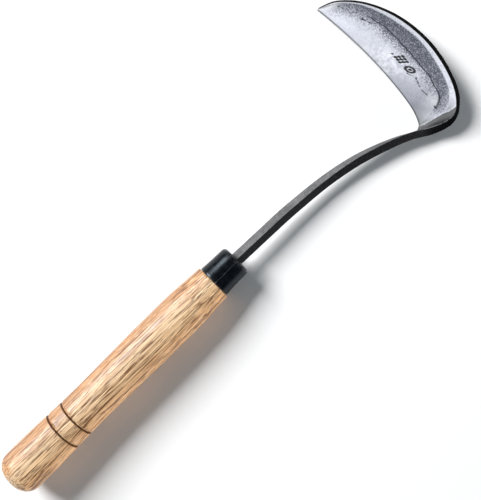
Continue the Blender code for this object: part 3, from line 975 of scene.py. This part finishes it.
class GroundSteel(Look):
    """The ground and polished face: a painted highlight on the bright land, painted shade in the dark
    speckled hollow and painted light on the steel towards the edge.
    """

    def __init__(self):
        super().__init__("ground_steel")
        self.weld = self.value("weld")
        self.station = self.value("station")
        self.fine = self.noise(self.place(), scale=1.05, detail=3.0, roughness=0.8)
        self.specks = self.centred(self.span(self.fine, 0.38, 0.62))
        self.patch = self.noise(self.place(shift=(31.0, 5.0, 0.0)), scale=0.24, detail=3.0, roughness=0.6)
        self.streak = self.noise(self.place((0.9, 0.18, 0.5)), scale=0.8, detail=3.0, roughness=0.6)
        cloud = self.noise(self.place(), scale=0.10, detail=4.0, roughness=0.6)
        wander = self.times(self.centred(cloud), 5.0)
        self.past = self.plus(self.weld, wander)
        self.far = self.span(self.past, 0.0, 16.0)
        self.tip = self.span(self.plus(self.station, self.times(wander, 0.12)), 8.4, 9.1)
        self.tone = self.hollow_shade_and_light()

    def along(self, *limits):
        """A span between two stations."""
        return self.span(self.station, *limits)

    def hollow_shade_and_light(self):
        """Painted shade and light: dark in the hollow beside the weld line, light at the edge, the point and
        the part by the land.
        """
        start = self.along(6.4, 8.4, 0.0, 9.0)
        width = self.along(4.6, 6.6, 1.0, 5.5)
        near_line = self.math("DIVIDE", self.plus(self.past, start), width, clamp=True)
        tone = self.plus(self.times(near_line, 0.50), self.times(self.far, 0.50))
        # Painted light: the hollow lightens beside the land.
        rubbed = self.times(self.span(self.value("rim"), -6.0, -0.5), self.along(2.4, 4.5, 0.45, 0.18))
        tone = self.larger(tone, self.tip, rubbed)
        tone = self.plus(tone, self.times(self.specks, self.span(self.weld, 3.0, 14.0, 0.95, 0.32)))
        return self.math("ADD", tone, self.times(self.centred(self.patch), 0.25), clamp=True)

    def face(self):
        """The hollow, the hard steel and the point, with painted shade in the hollow and painted light
        towards the edge and on the point.
        """
        # Painted shade in the hollow, turning to painted light towards the edge.
        colour = self.mix(self.tone, (0.072, 0.081, 0.106), (0.475, 0.49, 0.55))
        mottle = self.noise(self.place(shift=(9.0, 2.0, 4.0)), scale=0.26, detail=4.0, roughness=0.7)
        mottle = self.span(mottle, 0.34, 0.62, 0.0, 0.75)
        middle = self.times(self.along(4.1, 4.9, 0.15, 1.0), self.along(5.3, 6.8, 1.0, 0.15))
        colour = self.mix(self.times(self.far, mottle, middle), colour, (0.80, 0.815, 0.86))
        beside_weld = self.times(self.span(self.weld, 0.6, 1.6), self.span(self.weld, 3.0, 13.0, 0.75, 0.0))
        beside_weld = self.times(beside_weld, self.along(3.2, 3.9, 1.0, 0.0))
        colour = self.mix(beside_weld, colour, (0.76, 0.775, 0.82))
        # Painted light and shade at the point: lighter towards the spine and darker towards the edge.
        tip_light_and_shade = self.mix(self.span(self.weld, -4.0, 8.0), (0.97, 0.98, 1.0), (0.50, 0.515, 0.56))
        colour = self.mix(self.times(self.tip, 0.95), colour, tip_light_and_shade)
        heel_light = self.times(self.along(2.5, 3.3, 0.6, 0.0), self.span(self.fine, 0.36, 0.62, 0.35, 1.0))
        colour = self.mix(heel_light, colour, (0.40, 0.415, 0.465))
        colour = self.mix(self.along(0.9, 2.4, 0.65, 0.0), colour, (0.22, 0.23, 0.215))
        return self.mix(self.span(self.streak, 0.4, 0.75, 0.0, 0.18), colour, (0.40, 0.41, 0.46))

    def land_on(self, colour):
        """The flat land along the spine, made bright with a painted highlight."""
        land = self.span(self.plus(self.value("rim"), self.times(self.specks, 0.8)), -0.6, 0.8)
        land = self.times(land, self.span(self.patch, 0.25, 0.45, 0.78, 1.0))
        land = self.times(land, self.along(2.7, 3.8, 0.30, 1.0), self.along(8.4, 9.1, 1.0, 0.1))
        # The painted highlight's colour on the land.
        bright = self.mix(self.span(self.fine, 0.45, 0.7), (0.66, 0.68, 0.74), (0.36, 0.37, 0.43))
        return self.mix(land, colour, bright)

    def lines_on(self, colour):
        """The weld line, the sharpened edge and the dents."""
        weld = self.span(self.math("ABSOLUTE", self.weld), 0.24, 0.70, 1.0, 0.0)
        weld = self.times(weld, self.along(7.2, 8.0, 0.92, 0.0), self.along(2.6, 3.2))
        colour = self.mix(weld, colour, (0.022, 0.024, 0.03))
        sharpened = self.span(self.value("edge"), 0.55, 1.15, 0.85, 0.0)
        colour = self.mix(sharpened, colour, (0.09, 0.094, 0.105))
        return self.mix(self.span(self.value("dent"), 0.08, 0.55, 0.0, 0.97), colour, (0.012, 0.013, 0.017))

    def strip_highlight_on(self, colour, heel):
        """A painted highlight: the light strip just inside the start of the ground face."""
        strip_highlight = self.times(self.span(heel, 0.0, 4.5, 0.0, 0.8), self.span(heel, 6.5, 11.0, 1.0, 0.0))
        strip_highlight = self.times(strip_highlight, self.span(self.fine, 0.35, 0.6, 0.4, 1.0))
        strip_highlight = self.times(strip_highlight, self.along(1.3, 2.1, 0.1, 1.0), self.along(2.3, 2.9, 1.0, 0.2))
        return self.mix(strip_highlight, colour, (0.58, 0.59, 0.64))

    def made(self):
        """The ground face up to where the grinding starts at the heel, and forge scale beyond it."""
        heel = self.plus(self.value("heel"), self.times(self.specks, 0.5))
        ground = self.span(heel, -0.3, 0.3)
        colour = self.strip_highlight_on(self.lines_on(self.land_on(self.face())), heel)
        dull, dull_rough, dull_height = scale_parts(self)
        colour = self.mix(ground, dull, colour)
        # A painted highlight on the edge where the grinding starts.
        grind_edge_shine = self.span(self.math("ABSOLUTE", heel), 0.15, 0.7, 1.0, 0.0)
        colour = self.mix(self.times(grind_edge_shine, self.along(1.2, 3.0, 0.12, 0.7)), colour, (0.66, 0.67, 0.71))
        rough = self.plus(self.blend(self.tone, 0.52, 0.46), self.times(self.specks, 0.12))
        height = self.plus(self.times(self.fine, 0.6), self.times(self.streak, 0.4))
        return self.finish(
            base_color=colour,
            roughness=self.blend(ground, dull_rough, rough),
            normal=self.bump(self.blend(ground, dull_height, height), 0.00014, 0.6),
            metallic=self.times(ground, self.blend(self.tip, 0.40, 0.08)),
            specular_ior_level=self.blend(ground, 0.08, 0.3),
        )


def floor_look():
    look = Look("studio_floor", specular_ior_level=0.1, roughness=0.9)
    tint = look.noise(look.add("ShaderNodeTexCoord", {}, "Object"), scale=3.0)
    return look.finish(base_color=look.mix(tint, (0.905, 0.905, 0.905), (0.915, 0.915, 0.915)))


# ---------------------------------------------------------------- studio

def make_floor():
    bpy.ops.mesh.primitive_plane_add(size=12.0, location=(0.0, 0.0, -0.0004))
    floor = bpy.context.object
    floor.name = "studio_floor"
    floor.data.materials.append(floor_look())


def make_light(name, place, size, power, colour, reflected=True):
    light = bpy.data.lights.new(name, "AREA")
    light.shape = "RECTANGLE"
    light.size, light.size_y = size
    light.energy = power
    light.color = colour
    obj = bpy.data.objects.new(name, light)
    bpy.context.scene.collection.objects.link(obj)
    obj.location = place
    obj.visible_glossy = reflected
    obj.rotation_euler = (-Vector(place)).to_track_quat("-Z", "Y").to_euler()


def make_camera():
    """A camera straight over the tool, turned so that the handle runs from lower left to upper right."""
    axis = Vector((0.712, 0.702, -0.044)).normalized()
    side = Vector((0.0, 0.0, 1.0)).cross(axis).normalized()
    top = axis.cross(side)
    turn = REST.to_3x3().normalized() @ Matrix((axis, side, top))
    camera = bpy.data.cameras.new("camera")
    camera.lens = 57.6
    camera.clip_start = 0.01
    obj = bpy.data.objects.new("camera", camera)
    bpy.context.scene.collection.objects.link(obj)
    place = REST @ Vector((-16.3, 2.51, 504.57))
    obj.matrix_world = Matrix.Translation(place) @ turn.to_4x4()
    bpy.context.scene.camera = obj


def set_world():
    world = bpy.data.worlds.new("studio")
    world.use_nodes = True
    background = world.node_tree.nodes["Background"]
    background.inputs["Color"].default_value = (0.80, 0.91, 1.0, 1.0)
    background.inputs["Strength"].default_value = 0.11
    bpy.context.scene.world = world
    bpy.context.scene.view_settings.view_transform = "Standard"


def main():
    make_camera()
    set_world()
    make_floor()
    make_light("key", (-0.35, 1.75, 1.50), (1.1, 1.1), 94.0, (1.0, 1.0, 1.0))
    make_light("fill", (0.6, -2.2, 0.30), (2.0, 0.4), 50.0, (0.93, 0.97, 1.0), reflected=False)
    oak = Oak().made()
    enamel = enamel_look()
    scale = scale_look()
    ground = GroundSteel().made()
    pieces = {
        "handle": (make_handle(oak), "oak"),
        "ferrule": (make_ferrule(enamel), "black_enamel"),
        "blade_forging": (make_forging(scale, ground), "forge_black"),
        "edge_steel": (make_edge_steel(ground, scale), "bright_steel"),
    }
    for node, (piece, slot) in pieces.items():
        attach(piece, "root")
        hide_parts(node)


main()
